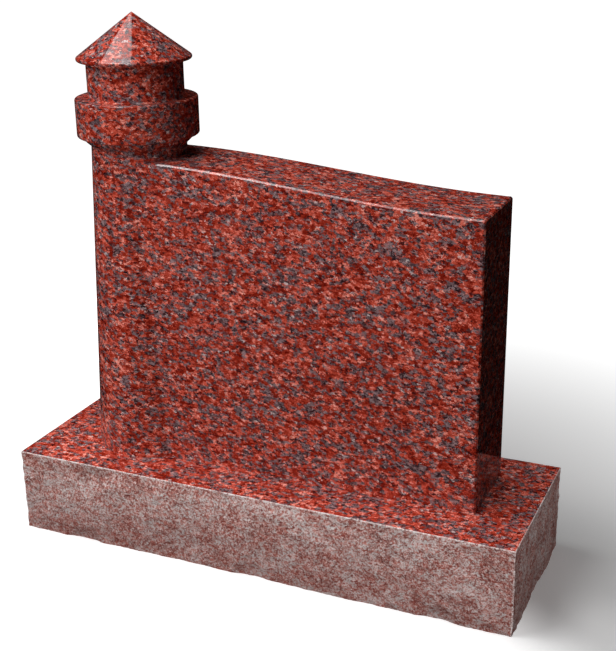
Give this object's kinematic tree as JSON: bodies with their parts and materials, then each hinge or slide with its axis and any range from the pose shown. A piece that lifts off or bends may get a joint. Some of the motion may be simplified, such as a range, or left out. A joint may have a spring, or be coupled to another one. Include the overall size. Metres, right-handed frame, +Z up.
{
  "type": "lighthouse headstone",
  "caption": "Granite headstone: an upright tablet with a serpentine top and a round lighthouse tower carved on its left end, standing on a rock-pitched base.",
  "frame": {"origin": "centre of the base's underside, on the ground", "axes": "+Z up, +X along the base away from the lighthouse, -Y out of the front face"},
  "size_m": [0.9224, 0.3128, 0.9171],
  "materials": {
    "pitched_granite": "red granite, rock-pitched sides with a pale bruised surface, polished on top",
    "polished_granite": "red granite with dark grey and salmon grains, mirror polished"
  },
  "bodies": {
    "root": {"base": "pitched_granite", "headstone": "polished_granite"}
  },
  "joints": []
}
